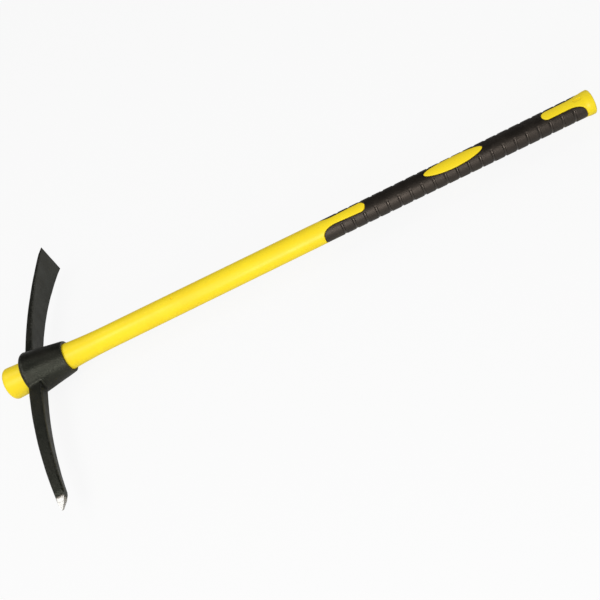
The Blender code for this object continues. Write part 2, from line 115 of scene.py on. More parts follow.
def add_camera():
    data = bpy.data.cameras.new("camera")
    data.lens = CAMERA_LENS_MM
    data.shift_x = CAMERA_SHIFT
    data.shift_y = CAMERA_SHIFT
    data.clip_start = NEAREST_SEEN
    camera = add_object("camera", data)
    back = PICTURE_RIGHT.cross(PICTURE_UP).normalized()
    right = PICTURE_UP.cross(back).normalized()
    turn = Matrix((right, back.cross(right), back)).transposed().to_4x4()
    camera.matrix_world = Matrix.Translation(HEAD_END + CAMERA_FROM_HEAD_END) @ turn
    bpy.context.scene.camera = camera
    return camera


camera = add_camera()
bpy.context.scene.view_settings.view_transform = "Standard"
print("camera at", [round(v, 3) for v in camera.matrix_world.translation])

# %% [markdown]
# ## The handle's outline
#
# The handle is turned, so one function of the distance along it gives its radius: a tapered seat that
# the head is driven onto, a hollow neck, a slim shaft, the grip, and a butt that flares so that the
# hand doesn't slip off. Jacket and sleeve both read it, so they stay flush.

# %% Radius along the handle
HEAD_END_RADIUS = 0.0238
HEAD_END_ROUND = 0.0055
SEAT_END_RADIUS = 0.0195
NECK_LENGTH = 0.0565
NECK_HOLLOW = 0.75
NECK_END_RADIUS = 0.0169
SHAFT_END_RADIUS = 0.0163
GRIP_LENGTH = 0.3920
GRIP_EASE = 0.0120
BUTT_RADIUS = 0.01755
BUTT_FLARE = 0.0070
BUTT_BAND = 0.0065
BUTT_ROUND = 0.0022
GRIP_REAR = HANDLE_LENGTH - BUTT_BAND - BUTT_FLARE
GRIP_FRONT = GRIP_REAR - GRIP_LENGTH
GRIP_RADII = ((0.0, 0.01605), (0.2305, 0.01634), (GRIP_LENGTH, 0.01675))
NECK_END = EYE_MOUTH + NECK_LENGTH


def smooth(share):
    share = np.clip(share, 0.0, 1.0)
    return share * share * (3 - 2 * share)


def seat_radius(x):
    return HEAD_END_RADIUS + (SEAT_END_RADIUS - HEAD_END_RADIUS) * x / EYE_MOUTH


def handle_radius(x):
    """Outside radius of the handle at a distance from its head end."""
    if x < EYE_MOUTH:
        return seat_radius(x)
    if x < NECK_END:
        left = (NECK_END - x) / NECK_LENGTH
        fall = NECK_HOLLOW * left ** 2 + (1 - NECK_HOLLOW) * left
        return NECK_END_RADIUS + (SEAT_END_RADIUS - NECK_END_RADIUS) * fall
    ease_start = GRIP_FRONT - GRIP_EASE
    shaft = NECK_END_RADIUS + (SHAFT_END_RADIUS - NECK_END_RADIUS) * (x - NECK_END) / (ease_start - NECK_END)
    grip = np.interp(x - GRIP_FRONT, *zip(*GRIP_RADII))
    eased = smooth((x - ease_start) / (2 * GRIP_EASE))
    flare = smooth((x - GRIP_REAR) / BUTT_FLARE)
    body = shaft + (grip - shaft) * eased
    return float(body + (BUTT_RADIUS - body) * flare)


print("radius at seat, shaft, grip, butt in mm:",
      [round(1000 * handle_radius(x), 2) for x in (0.05, 0.3, 0.7, HANDLE_LENGTH)])

# %% [markdown]
# ## The windows of the grip
#
# Black rubber covers the grip, but the yellow plastic shows through it in three places: a tongue that
# runs in from the shaft, a long oval in the middle, and a tongue that runs in from the butt. The
# far side has the same three. One function says how wide the yellow is at each place.
# Both pieces are cut to it, the plastic a hair narrower, so that a fine seam is left all round.

# %% Window outlines
GRIP_TURN = math.radians(11.0)
LOBE_LENGTH = 0.0215
LOBE_CREST = 0.0180
FRONT_WINDOW = dict(length=0.0690, tip=0.0080, half=0.0082, neck=0.0066)
REAR_WINDOW = dict(length=0.0587, tip=0.0080, half=0.0076, neck=0.0076)
MIDDLE_FROM_REAR = 0.1900
MIDDLE_HALF_LENGTH = 0.0438
MIDDLE_HALF_WIDTH = 0.0100
SEAM = 0.0002
QUARTER = math.pi / 2
MERGE = 0.000001


def end_window(along, length, tip, half, neck, inset):
    """Half width of a tongue, counted from the end of the sleeve where it comes in."""
    if along < LOBE_LENGTH:
        share = (LOBE_LENGTH - along) / (LOBE_LENGTH + inset)
        if share >= 1.0:
            return LOBE_CREST
        return LOBE_CREST - (LOBE_CREST - neck + inset) * math.sqrt(1 - share ** 2)
    straight = length - tip
    if along < straight:
        return neck + (half - neck) * (along - LOBE_LENGTH) / (straight - LOBE_LENGTH) - inset
    share = (along - straight) / (tip - inset)
    return (half - inset) * math.sqrt(max(0.0, 1 - share ** 2))


def window_half_width(x, inset):
    share = (x - GRIP_REAR + MIDDLE_FROM_REAR) / (MIDDLE_HALF_LENGTH - inset)
    middle = (MIDDLE_HALF_WIDTH - inset) * math.sqrt(max(0.0, 1 - share ** 2))
    front = end_window(x - GRIP_FRONT, inset=inset, **FRONT_WINDOW)
    rear = end_window(GRIP_REAR - x, inset=inset, **REAR_WINDOW)
    return max(front, middle, rear)


def edge_angle(x, inset=0.0):
    """Angle from a window's middle to its edge: 0 where rubber closes, a quarter turn where none is."""
    half = window_half_width(x, inset)
    return math.asin(min(1.0, half / handle_radius(x))) if half > MERGE else 0.0


def window_ends(inset):
    """Where windows close and lobes start, from front to rear."""
    ends = []
    for start, sign, window in ((GRIP_FRONT, 1, FRONT_WINDOW), (GRIP_REAR, -1, REAR_WINDOW)):
        over = (LOBE_CREST - handle_radius(start)) / (LOBE_CREST - window["neck"] + inset)
        nose = LOBE_LENGTH - (LOBE_LENGTH + inset) * math.sqrt(1 - over ** 2)
        ends += [start + sign * nose, start + sign * (window["length"] - inset)]
    middle = GRIP_REAR - MIDDLE_FROM_REAR
    ends += [middle - MIDDLE_HALF_LENGTH + inset, middle + MIDDLE_HALF_LENGTH - inset]
    return sorted(ends)


print("window ends from the head end, mm:", [round(1000 * x, 1) for x in window_ends(0.0)])

# %% [markdown]
# ## Rows that crowd where the outline turns
#
# A mesh that follows a curved border looks clean if its own rows end on that border. So the rows
# are laid across the handle, and they come closer together near each tip and nose, where the border
# swings round fastest. A search tree of points on the border then tells how far any point of
# the surface is from it, and the surface rolls down over the last part of a millimetre.

# %% Rows and border distance
ROW_WIDEST = 0.0026
ROW_FINEST = 0.00008
ROW_GROWTH = 0.42
BORDER_STEP = 0.00025


def rows_between(start, end, ends, widest=ROW_WIDEST):
    """Places from start to end, which crowd near the given ends."""
    rows = [start]

    def split(a, b):
        nearest = min(abs((a + b) / 2 - x) for x in ends)
        if b - a > min(widest, ROW_FINEST + ROW_GROWTH * nearest):
            split(a, (a + b) / 2)
            split((a + b) / 2, b)
        else:
            rows.append(b)

    knots = [start] + [x for x in ends if start < x < end] + [end]
    for a, b in zip(knots, knots[1:]):
        split(a, b)
    return rows


def border_tree(inset):
    """Points all along the windows' borders, on the unrolled surface."""
    ends = window_ends(inset)
    points = []
    for x in rows_between(ends[0], ends[-1], ends, BORDER_STEP):
        angle = edge_angle(x, inset)
        if angle > 0.0:
            points.append((x, angle * handle_radius(x), 0.0))
    tree = KDTree(len(points))
    for i, point in enumerate(points):
        tree.insert(point, i)
    tree.balance()
    return tree


def border_distance(tree, x, angle):
    """Distance along the surface; top and bottom windows are alike, so one quarter is enough."""
    folded = min(abs(angle), math.pi - abs(angle))
    return tree.find((x, folded * handle_radius(x), 0.0))[2]


def roll_off(distance, rounding):
    return rounding * max(0.0, 1 - distance / rounding) ** 2


plastic_border = border_tree(SEAM)
rubber_border = border_tree(0.0)
print("rows across the grip:", len(rows_between(GRIP_FRONT, GRIP_REAR, window_ends(0.0))))

# %% [markdown]
# ## Turning points into pieces
#
# Handle pieces are written as (distance, angle, radius), which is how one thinks of a turned thing.
# The handle stands a little turned in the eye, so the angle is counted from its own top. Where rows
# run together to a point, the doubled corners are merged, and the skin is one closed body.

# %% Mesh helpers
def round_point(x, angle, radius, turn=GRIP_TURN):
    return (x, radius * math.sin(angle - turn), radius * math.cos(angle - turn))


def store(mesh, masks):
    for title, values in masks.items():
        mesh.attributes.new(title, "FLOAT", "POINT").data.foreach_set("value", values)


def piece(name, points, faces, masks=None):
    """A closed mesh, placed in the frame, with named values on its points."""
    mesh = bpy.data.meshes.new(name)
    mesh.from_pydata(points, [], faces)
    store(mesh, masks or {})
    shape = bmesh.new()
    shape.from_mesh(mesh)
    bmesh.ops.remove_doubles(shape, verts=shape.verts, dist=MERGE)
    bmesh.ops.dissolve_degenerate(shape, edges=shape.edges, dist=MERGE)
    bmesh.ops.recalc_face_normals(shape, faces=shape.faces)
    bmesh.ops.translate(shape, verts=shape.verts, vec=HEAD_END)
    shape.to_mesh(mesh)
    open_edges = sum(not edge.is_manifold for edge in shape.edges)
    shape.free()
    print(f"{name}: {len(mesh.polygons)} faces, {open_edges} open edges")
    return add_object(name, mesh)


def grid_faces(rows, columns, wrap=True):
    faces = []
    for i in range(rows - 1):
        for j in range(columns if wrap else columns - 1):
            k = (j + 1) % columns
            faces.append((i * columns + j, i * columns + k, (i + 1) * columns + k, (i + 1) * columns + j))
    return faces


def shade(obj, angle):
    obj.data.shade_smooth()
    obj.data.set_sharp_from_angle(angle=math.radians(angle))


def applied(obj):
    """The object with its modifiers turned into plain mesh."""
    evaluated = obj.evaluated_get(bpy.context.evaluated_depsgraph_get())
    mesh = bpy.data.meshes.new_from_object(evaluated)
    obj.modifiers.clear()
    old = obj.data
    obj.data = mesh
    bpy.data.meshes.remove(old)
    return obj


print("helpers ready")

# %% [markdown]
# ## The yellow jacket
#
# The jacket is one moulding: it coats the fibreglass rod, swells to the seat of the head and
# fills the grip's windows. It could be a turned body with Boolean cuts, but those leave ragged
# corners where the light runs along an edge. Here every row goes once round: over the upper tongue,
# down its wall, across the floor that the rubber lies on, and over the lower tongue. Where there is
# no window, the tongue shrinks to nothing, and where there is no rubber, the floor does.

# %% Rows of the jacket
TONGUE_COLUMNS = 20
FLOOR_COLUMNS = 10
SLEEVE_THICKNESS = 0.0022
PLASTIC_ROUNDING = 0.0010
CROWDING = 1.9
CROWDING_REACH = 0.030
SHAFT_STEP = 0.0075
ROUND_STEPS = 8
BORE_LEAD = 0.0006
BORE_MIDDLE = 0.3


def jacket_row(x, radius=None):
    """Angles and radii round half the jacket, from the top to the bottom."""
    edge = edge_angle(x, SEAM) if radius is None else QUARTER
    away = max(window_ends(SEAM)[0] - x, x - window_ends(SEAM)[-1], 0.0)
    crowding = CROWDING - (CROWDING - 1) * smooth(away / CROWDING_REACH)
    tongue = edge * (1 - (1 - np.linspace(0, 1, TONGUE_COLUMNS + 1)) ** crowding)
    floor = np.linspace(edge, math.pi - edge, FLOOR_COLUMNS + 1)
    if radius is not None:
        heights = np.full(TONGUE_COLUMNS + 1, radius)
        depth = radius
    else:
        outside = handle_radius(x)
        gaps = [border_distance(plastic_border, x, a) for a in tongue]
        if 0.0 < edge < QUARTER:
            gaps[-1] = 0.0
        heights = np.array([outside - roll_off(gap, PLASTIC_ROUNDING) for gap in gaps])
        depth = heights[-1] if edge >= QUARTER else outside - SLEEVE_THICKNESS
        if edge <= 0.0:
            heights[:] = depth
    angles = np.concatenate([tongue, floor, math.pi - tongue[::-1]])
    radii = np.concatenate([heights, np.full(FLOOR_COLUMNS + 1, depth), heights[::-1]])
    return x, angles, radii


def quarter_round(x, radius, along, across):
    """Places and radii of a rounded edge, from along the axis to across it."""
    turns = [QUARTER * i / ROUND_STEPS for i in range(ROUND_STEPS + 1)]
    return [(x + along * math.sin(t), radius + across * math.cos(t)) for t in turns]


def jacket_rows():
    bore = CORE_RADIUS + CLEARANCE
    closed = CORE_END + CLEARANCE
    plain = [(closed, 0.0), (closed, bore), (BORE_MIDDLE, bore), (BORE_LEAD, bore)]
    face = seat_radius(HEAD_END_ROUND) - HEAD_END_ROUND
    plain += [(0.0, bore + BORE_LEAD), (0.0, (bore + BORE_LEAD + face) / 2)]
    plain += quarter_round(HEAD_END_ROUND, face, -HEAD_END_ROUND, HEAD_END_ROUND)[::-1]
    rows = [jacket_row(x, radius) for x, radius in plain]
    ends = window_ends(SEAM)
    steps = np.arange(HEAD_END_ROUND + SHAFT_STEP, GRIP_FRONT - CROWDING_REACH, SHAFT_STEP)
    rows += [jacket_row(x, handle_radius(x)) for x in steps]
    rows += [jacket_row(x) for x in rows_between(steps[-1] + SHAFT_STEP, GRIP_REAR, ends)]
    band = HANDLE_LENGTH - BUTT_BAND
    flare = np.linspace(GRIP_REAR, band, ROUND_STEPS)[1:]
    rows += [jacket_row(x, handle_radius(x)) for x in flare]
    round_start = HANDLE_LENGTH - BUTT_ROUND
    butt = quarter_round(round_start, BUTT_RADIUS - BUTT_ROUND, BUTT_ROUND, BUTT_ROUND)
    butt += [(HANDLE_LENGTH, BUTT_RADIUS / 2), (HANDLE_LENGTH, 0.0)]
    return rows + [jacket_row(x, radius) for x, radius in butt]


def make_jacket():
    points = []
    rows = jacket_rows()
    for x, angles, radii in rows:
        ring = list(zip(angles, radii))
        ring += [(-a, r) for a, r in reversed(ring[1:-1])]
        points += [round_point(x, a, r) for a, r in ring]
    return piece("yellow_jacket", points, grid_faces(len(rows), len(points) // len(rows)))


jacket = make_jacket()

# %% [markdown]
# ## Marks of the mould
#
# Two small marks tell how the jacket was made: the round one that a pin left while it held the rod
# in the mould, and the oval at the butt where the plastic came in. They are shallow cuts.

# %% Cut the marks
PIN_MARK = (0.2665, 0.0040, 0.0040)
GATE_MARK = (GRIP_REAR - 0.0065, 0.0120, 0.0048)
MARK_DEPTH = 0.0010
MARK_STEPS = 24
PLASTIC_SHARP = 40
CUTTER_REACH = 0.010


def mark_cutter(x, length, width):
    """A slot with round ends, which stands on the jacket's top side."""
    radius = width / 2
    reach = (length - width) / 2
    floor = handle_radius(x) - MARK_DEPTH
    points = []
    for height in (floor, floor + CUTTER_REACH):
        for i in range(MARK_STEPS):
            turn = math.tau * (i + 0.5) / MARK_STEPS
            side = math.copysign(reach, math.cos(turn))
            across = radius * math.sin(turn)
            along = x + side + radius * math.cos(turn)
            points.append(round_point(along, math.atan2(across, height), math.hypot(across, height)))
    faces = grid_faces(2, MARK_STEPS)
    faces += [tuple(range(MARK_STEPS)), tuple(range(MARK_STEPS, 2 * MARK_STEPS))]
    return piece("mark_cutter", points, faces)


def join(obj, operation, other):
    """Joins or cuts another object, which is used up."""
    step = obj.modifiers.new(operation.lower(), "BOOLEAN")
    step.operation = operation
    step.solver = "EXACT"
    step.object = other
    step.material_mode = "TRANSFER"
    applied(obj)
    bpy.data.objects.remove(other)


for mark in (PIN_MARK, GATE_MARK):
    join(jacket, "DIFFERENCE", mark_cutter(*mark))
shade(jacket, PLASTIC_SHARP)
print("jacket:", len(jacket.data.polygons), "faces after the marks")

# %% [markdown]
# ## The rubber sleeve
#
# The sleeve is a tube with six windows, so each of its two flanks is a strip that runs from lobe to
# lobe. A flank's rows go over the outside, down one border, back along the inside and up the other.
# Past the tip of a window the two flanks meet, and their walls there are left out.

# %% Rows of the sleeve
FLANK_COLUMNS = 46
INSIDE_COLUMNS = 6
RUBBER_ROUNDING = 0.0009
GROOVE_FIRST = GRIP_FRONT + 0.0294
GROOVE_PITCH = 0.01728
GROOVE_COUNT = 21
GROOVE_WIDTH = 0.0043
GROOVE_FLOOR = 0.0023
GROOVE_DEPTH = 0.0012
GROOVE_DISH = 0.00018
GROOVE_ROWS = (0.0, 0.3, 0.54, 0.62, 0.70, 0.78, 0.86, 0.93, 1.0)
GROOVE_MARGIN = (0.0003, 0.0012)
GROOVE_TOP = (math.radians(36), math.radians(43))
RUBBER_SHARP = 50


def sleeve_places():
    """Rows that follow the windows, and more of them over each groove."""
    ends = window_ends(0.0)
    places = rows_between(ends[0], ends[-1], ends)
    middles = [GROOVE_FIRST + GROOVE_PITCH * i for i in range(GROOVE_COUNT)]
    half = GROOVE_WIDTH / 2
    kept = [x for x in places if x in ends or min(abs(x - m) for m in middles) > half or
            min(abs(x - e) for e in ends) < half]
    for middle in middles:
        for step in [-share for share in GROOVE_ROWS[:0:-1]] + list(GROOVE_ROWS):
            x = middle + half * step
            if min(abs(x - old) for old in kept) > ROW_FINEST:
                kept.append(x)
    return sorted(kept)


def groove_room(angle, gap):
    """1 on the flanks, where grooves are cut, down to 0 near a border and over the smooth top strip."""
    low, high = GROOVE_MARGIN
    top, side = GROOVE_TOP
    folded = min(angle, math.pi - angle)
    return float(smooth((gap - low) / (high - low)) * smooth((folded - top) / (side - top)))


def flank_angles(edge, columns):
    spread = np.linspace(-1, 1, columns + 1)
    crowded = np.sign(spread) * (1 - (1 - np.abs(spread)) ** CROWDING)
    return QUARTER + (QUARTER - edge) * crowded


def make_sleeve():
    places = sleeve_places()
    loop = FLANK_COLUMNS + INSIDE_COLUMNS + 2
    points, room, faces = [], [], []
    edges = [QUARTER if x in (places[0], places[-1]) else edge_angle(x) for x in places]
    for side in (1, -1):
        start = len(points)
        for x, edge in zip(places, edges):
            outside = handle_radius(x)
            angles = flank_angles(edge, FLANK_COLUMNS)
            gaps = [border_distance(rubber_border, x, a) for a in angles]
            if edge > 0.0:
                gaps[0] = gaps[-1] = 0.0
            points += [round_point(x, side * a, outside - roll_off(gap, RUBBER_ROUNDING))
                       for a, gap in zip(angles, gaps)]
            room += [groove_room(a, gap) for a, gap in zip(angles, gaps)]
            inside = outside - SLEEVE_THICKNESS + CLEARANCE
            angles = np.linspace(math.pi - edge, edge, INSIDE_COLUMNS + 1)
            points += [round_point(x, side * a, inside) for a in angles]
            room += [0.0] * (INSIDE_COLUMNS + 1)
        for i, (edge, next_edge) in enumerate(zip(edges, edges[1:])):
            for j in range(loop):
                wall = j in (FLANK_COLUMNS, loop - 1)
                if wall and edge <= 0.0 and next_edge <= 0.0:
                    continue
                a = start + i * loop + j
                b = start + i * loop + (j + 1) % loop
                faces.append((a, b, b + loop, a + loop))
    return piece("rubber_sleeve", points, faces, {"groove_room": room})


sleeve = make_sleeve()

# %% [markdown]
# ## Grooves, by a rule
#
# Finger grooves cross both flanks of the sleeve at one pitch. That is a rule, so Geometry Nodes cut
# them: each point finds its nearest groove, and sinks towards the handle's axis by how close it is to the
# groove's middle. The points carry a value that fades to nothing along the top and bottom strips
# and at the windows, so these stay smooth and the borders stay whole.

# %% Node helper
def fill(tree, node, inputs):
    """Links or sets a node's inputs."""
    for key, value in inputs.items():
        if isinstance(value, bpy.types.NodeSocket):
            tree.links.new(value, node.inputs[key])
        else:
            node.inputs[key].default_value = value


def add_node(tree, kind, inputs=None, **settings):
    made = tree.nodes.new(kind)
    for name, value in settings.items():
        setattr(made, name, value)
    fill(tree, made, inputs or {})
    return made


def calculate(tree, operation, *values):
    return add_node(tree, "ShaderNodeMath", dict(enumerate(values)), operation=operation).outputs[0]


print("node helpers ready")

# %% Groove tree
def groove_tree():
    tree = bpy.data.node_groups.new("finger_grooves", "GeometryNodeTree")
    kinds = {"Geometry": "Geometry", "Rubber": "Material"}
    for title in ("First", "Pitch", "Last Number", "Width", "Floor", "Depth", "Dish", "Axis Y", "Axis Z"):
        kinds[title] = "Float"
    sockets = {title: tree.interface.new_socket(title, in_out="INPUT", socket_type="NodeSocket" + kind)
               for title, kind in kinds.items()}
    tree.interface.new_socket("Geometry", in_out="OUTPUT", socket_type="NodeSocketGeometry")
    given = tree.nodes.new("NodeGroupInput").outputs
    position = tree.nodes.new("GeometryNodeInputPosition").outputs[0]
    place = add_node(tree, "ShaderNodeSeparateXYZ", {0: position})
    along = calculate(tree, "SUBTRACT", place.outputs["X"], given["First"])
    number = calculate(tree, "ROUND", calculate(tree, "DIVIDE", along, given["Pitch"]))
    number = calculate(tree, "MINIMUM", calculate(tree, "MAXIMUM", number, 0.0), given["Last Number"])
    off_middle = calculate(tree, "SUBTRACT", along, calculate(tree, "MULTIPLY", number, given["Pitch"]))
    off_middle = calculate(tree, "ABSOLUTE", off_middle)
    half_floor = calculate(tree, "MULTIPLY", given["Floor"], 0.5)
    cut = add_node(tree, "ShaderNodeMapRange", {
        "Value": off_middle,
        "From Min": half_floor,
        "From Max": calculate(tree, "MULTIPLY", given["Width"], 0.5),
        "To Min": 1.0,
        "To Max": 0.0,
    }, interpolation_type="SMOOTHSTEP").outputs["Result"]
    room = add_node(tree, "GeometryNodeInputNamedAttribute", {"Name": "groove_room"}, data_type="FLOAT")
    cut = calculate(tree, "MULTIPLY", cut, room.outputs[0])
    share = calculate(tree, "DIVIDE", off_middle, half_floor)
    dish = calculate(tree, "SUBTRACT", 1.0, calculate(tree, "MULTIPLY", share, share))
    dish = calculate(tree, "MULTIPLY", calculate(tree, "MAXIMUM", dish, 0.0), given["Dish"])
    sink = calculate(tree, "MULTIPLY", cut, calculate(tree, "ADD", given["Depth"], dish))
    inward = add_node(tree, "ShaderNodeCombineXYZ", {
        "Y": calculate(tree, "SUBTRACT", given["Axis Y"], place.outputs["Y"]),
        "Z": calculate(tree, "SUBTRACT", given["Axis Z"], place.outputs["Z"]),
    }).outputs[0]
    inward = add_node(tree, "ShaderNodeVectorMath", {0: inward}, operation="NORMALIZE").outputs[0]
    shift = add_node(tree, "ShaderNodeVectorMath", {0: inward, "Scale": sink}, operation="SCALE").outputs[0]
    grooved = add_node(tree, "GeometryNodeSetPosition", {"Geometry": given["Geometry"], "Offset": shift})
    marked = add_node(tree, "GeometryNodeStoreNamedAttribute", {
        "Geometry": grooved.outputs[0], "Name": "groove", "Value": cut}, data_type="FLOAT", domain="POINT")
    real = add_node(tree, "GeometryNodeRealizeInstances", {0: marked.outputs[0]})
    dressed = add_node(tree, "GeometryNodeSetMaterial", {0: real.outputs[0], "Material": given["Rubber"]})
    add_node(tree, "NodeGroupOutput", {0: dressed.outputs[0]})
    return tree, {title: socket.identifier for title, socket in sockets.items()}


def cut_grooves(obj, rubber):
    tree, names = groove_tree()
    step = obj.modifiers.new("finger_grooves", "NODES")
    step.node_group = tree
    settings = {
        "First": HEAD_END.x + GROOVE_FIRST,
        "Pitch": GROOVE_PITCH,
        "Last Number": GROOVE_COUNT - 1.0,
        "Width": GROOVE_WIDTH,
        "Floor": GROOVE_FLOOR,
        "Depth": GROOVE_DEPTH,
        "Dish": GROOVE_DISH,
        "Axis Y": HEAD_END.y,
        "Axis Z": HEAD_END.z,
        "Rubber": rubber,
    }
    for title, value in settings.items():
        step[names[title]] = value
    applied(obj)
    shade(obj, RUBBER_SHARP)
    print("sleeve:", GROOVE_COUNT, "grooves,", len(obj.data.polygons), "faces")


pebbled_rubber = bpy.data.materials.new("pebbled_rubber")
cut_grooves(sleeve, pebbled_rubber)

# %% [markdown]
# ## The forged head: its eye
#
# The head is one forging. Its eye is a thick collar that tapers towards the grip, with a bore
# that fits the swelled seat of the handle, so each swing drives it tighter. It is drawn as an outline
# that is turned once round the axis.

# %% Eye
EYE_RIM_ROUND = 0.0055
EYE_MOUTH_ROUND = 0.0010
EYE_MOUTH_WALL = 0.0039
EYE_MOUTH_RADIUS = SEAT_END_RADIUS + CLEARANCE + EYE_MOUTH_WALL
BORE_CHAMFER = 0.0005
EYE_COLUMNS = 144
EYE_STEPS = 24


def eye_radius(x):
    """Outside of the eye, with its rounded rim."""
    inwards = max(x - EYE_FACE, 0.0)
    if inwards < EYE_RIM_ROUND:
        return EYE_RADIUS - EYE_RIM_ROUND + math.sqrt(EYE_RIM_ROUND ** 2 - (EYE_RIM_ROUND - inwards) ** 2)
    share = (inwards - EYE_RIM_ROUND) / (EYE_MOUTH - EYE_FACE - EYE_RIM_ROUND)
    return EYE_RADIUS + (EYE_MOUTH_RADIUS - EYE_RADIUS) * share


def eye_outline():
    """A closed outline of (x, radius): rim, cone, mouth and back through the bore."""
    rim = EYE_FACE + EYE_RIM_ROUND
    outline = quarter_round(rim, EYE_RADIUS - EYE_RIM_ROUND, -EYE_RIM_ROUND, EYE_RIM_ROUND)[::-1]
    cone_end = EYE_MOUTH - EYE_MOUTH_ROUND
    outline += [(x, eye_radius(x)) for x in np.linspace(rim, cone_end, EYE_STEPS)[1:-1]]
    outline += quarter_round(cone_end, EYE_MOUTH_RADIUS - EYE_MOUTH_ROUND, EYE_MOUTH_ROUND, EYE_MOUTH_ROUND)
    mouth = seat_radius(EYE_MOUTH) + CLEARANCE
    face = seat_radius(EYE_FACE) + CLEARANCE
    outline += [(EYE_MOUTH, mouth + BORE_CHAMFER), (EYE_MOUTH - 2 * BORE_CHAMFER, mouth)]
    outline += [(EYE_FACE + 2 * BORE_CHAMFER, face), (EYE_FACE, face + BORE_CHAMFER)]
    return outline


def make_eye():
    outline = eye_outline()
    points = [round_point(x, math.tau * j / EYE_COLUMNS, radius, 0.0)
              for x, radius in outline + outline[:1] for j in range(EYE_COLUMNS)]
    return piece("forged_head", points, grid_faces(len(outline) + 1, EYE_COLUMNS))


head = make_eye()

# %% [markdown]
# ## The forged head: adze and pick
#
# Both arms are lofts: a rounded rectangle is carried outwards along a gentle arc, and its sizes
# change on the way. The first rings stand on the eye's own surface and draw in as a fillet, so the
# arm grows out of the collar. The pick's end is ground: its rings are held inside a pyramid.

# %% Sections of the arms
ARM_ROOT = 0.0300
ADZE_SPINE = 0.715
ADZE_WIDTH = (0.0298, 0.0530)
ADZE_STRAIGHT_FLARE = 0.58
ADZE_THICKNESS = (0.0130, 0.0036)
ADZE_CORNER = 0.0034
ADZE_BEVEL = 0.0110
ADZE_EDGE = 0.0012
ADZE_FLATS = (4, 18)
PICK_SPINE = 0.850
PICK_SET = 0.0012
PICK_WIDTH = (0.0195, 0.0098)
PICK_DEPTH = (0.0204, 0.0150)
PICK_CORNER = 0.0028
PICK_FLATS = (8, 6)
POINT_LENGTH = 0.0260
POINT_SIDE = 0.0020
POINT_DROP = 0.0019
POINT_FULLNESS = 0.0011
CORNER_STEPS = 6
CORNER_LIMIT = 0.45


def between(pair, share):
    return pair[0] + (pair[1] - pair[0]) * share


def rounded_section(low, high, width, corner, flats):
    """Outline of a rounded rectangle as (x, z, outward x, outward z), with points on its flats."""
    corner = min(corner, CORNER_LIMIT * (high - low), CORNER_LIMIT * width)
    half = width / 2 - corner
    centres = ((high - corner, half), (low + corner, half), (low + corner, -half), (high - corner, -half))
    outline = []
    for side, (x, z) in enumerate(centres):
        turns = [QUARTER * (side + i / CORNER_STEPS) for i in range(CORNER_STEPS + 1)]
        arc = [(x + corner * math.cos(t), z + corner * math.sin(t), math.cos(t), math.sin(t)) for t in turns]
        outline += arc
        last = arc[-1]
        next_x, next_z = centres[(side + 1) % 4]
        reach = (next_x - x, next_z - z)
        for i in range(1, flats[side % 2]):
            share = i / flats[side % 2]
            outline.append((last[0] + reach[0] * share, last[1] + reach[1] * share, last[2], last[3]))
    return outline


def spine(y, radius):
    """How far an arm has bent towards the grip."""
    return EYE_FACE + radius - math.sqrt(radius * radius - y * y)


def adze_section(y):
    share = (y - ARM_ROOT) / (ADZE_REACH - ARM_ROOT)
    width = between(ADZE_WIDTH, ADZE_STRAIGHT_FLARE * share + (1 - ADZE_STRAIGHT_FLARE) * share ** 2)
    thickness = between(ADZE_THICKNESS, share)
    low = spine(y, ADZE_SPINE)
    high = low + thickness
    low += max(0.0, 1 - (ADZE_REACH - y) / ADZE_BEVEL) * (thickness - ADZE_EDGE)
    return rounded_section(low, high, width, ADZE_CORNER, ADZE_FLATS)


def pick_size(y):
    share = (y - ARM_ROOT) / (PICK_REACH - POINT_LENGTH - ARM_ROOT)
    low = spine(y, PICK_SPINE) + PICK_SET
    return low, low + between(PICK_DEPTH, share), between(PICK_WIDTH, share)


def point_pyramid(y):
    """Lowest and highest x and half width that the grinding leaves at a place on the point."""
    start = PICK_REACH - POINT_LENGTH
    share = (y - start) / POINT_LENGTH
    low, high, width = pick_size(start)
    tip = spine(PICK_REACH, PICK_SPINE) + PICK_SET + POINT_DROP
    bulge = POINT_FULLNESS * (1 - abs(2 * share - 1))
    return (between((low, tip - POINT_SIDE / 2), share) - bulge / 2,
            between((high, tip + POINT_SIDE / 2), share) + bulge,
            between((width, POINT_SIDE), share) / 2 + bulge / 2)


def pick_section(y):
    section = rounded_section(*pick_size(y), PICK_CORNER, PICK_FLATS)
    if y <= PICK_REACH - POINT_LENGTH:
        return section
    low, high, half = point_pyramid(y)
    return [(min(max(x, low), high), min(max(z, -half), half), a, b) for x, z, a, b in section]


print("adze", len(adze_section(0.1)), "and pick", len(pick_section(0.1)), "points round a section")

# %% Loft the arms
ROOT_FILLET = 0.0025
ROOT_DEPTH = 0.0030
FILLET_STEPS = 7
FILLET_START = math.radians(74)
ARM_STEP = 0.0024
BEVEL_STEPS = 5
POINT_STEP = 0.0007


def arm(name, section, side, places):
    """Rings from inside the collar's wall out to the arm's end."""
    root = section(EYE_RADIUS + ROOT_FILLET)
    turns = [FILLET_START * (1 - i / FILLET_STEPS) for i in range(FILLET_STEPS + 1)]
    feet = [(ROOT_FILLET * (1 - math.sin(t)), ROOT_FILLET * (1 - math.cos(t))) for t in turns]
    points = []
    for height, flare in [(-ROOT_DEPTH, feet[0][1])] + feet:
        for x, z, out_x, out_z in root:
            x += flare * max(out_x, 0.0)
            z += flare * out_z
            points.append((x, side * (math.sqrt(eye_radius(x) ** 2 - z * z) + height), z))
    for y in places:
        points += [(x, side * y, z) for x, z, _, _ in section(y)]
    count = len(root)
    rings = len(points) // count
    faces = grid_faces(rings, count) + [tuple(range(count)), tuple(range(len(points) - count, len(points)))]
    return piece(name, points, faces)


def arm_places(end, fine_start, fine_step):
    start = EYE_RADIUS + ROOT_FILLET + ARM_STEP
    coarse = np.linspace(start, fine_start, round((fine_start - start) / ARM_STEP))
    fine = np.linspace(fine_start, end, round((end - fine_start) / fine_step) + 1)
    return list(coarse) + list(fine[1:])


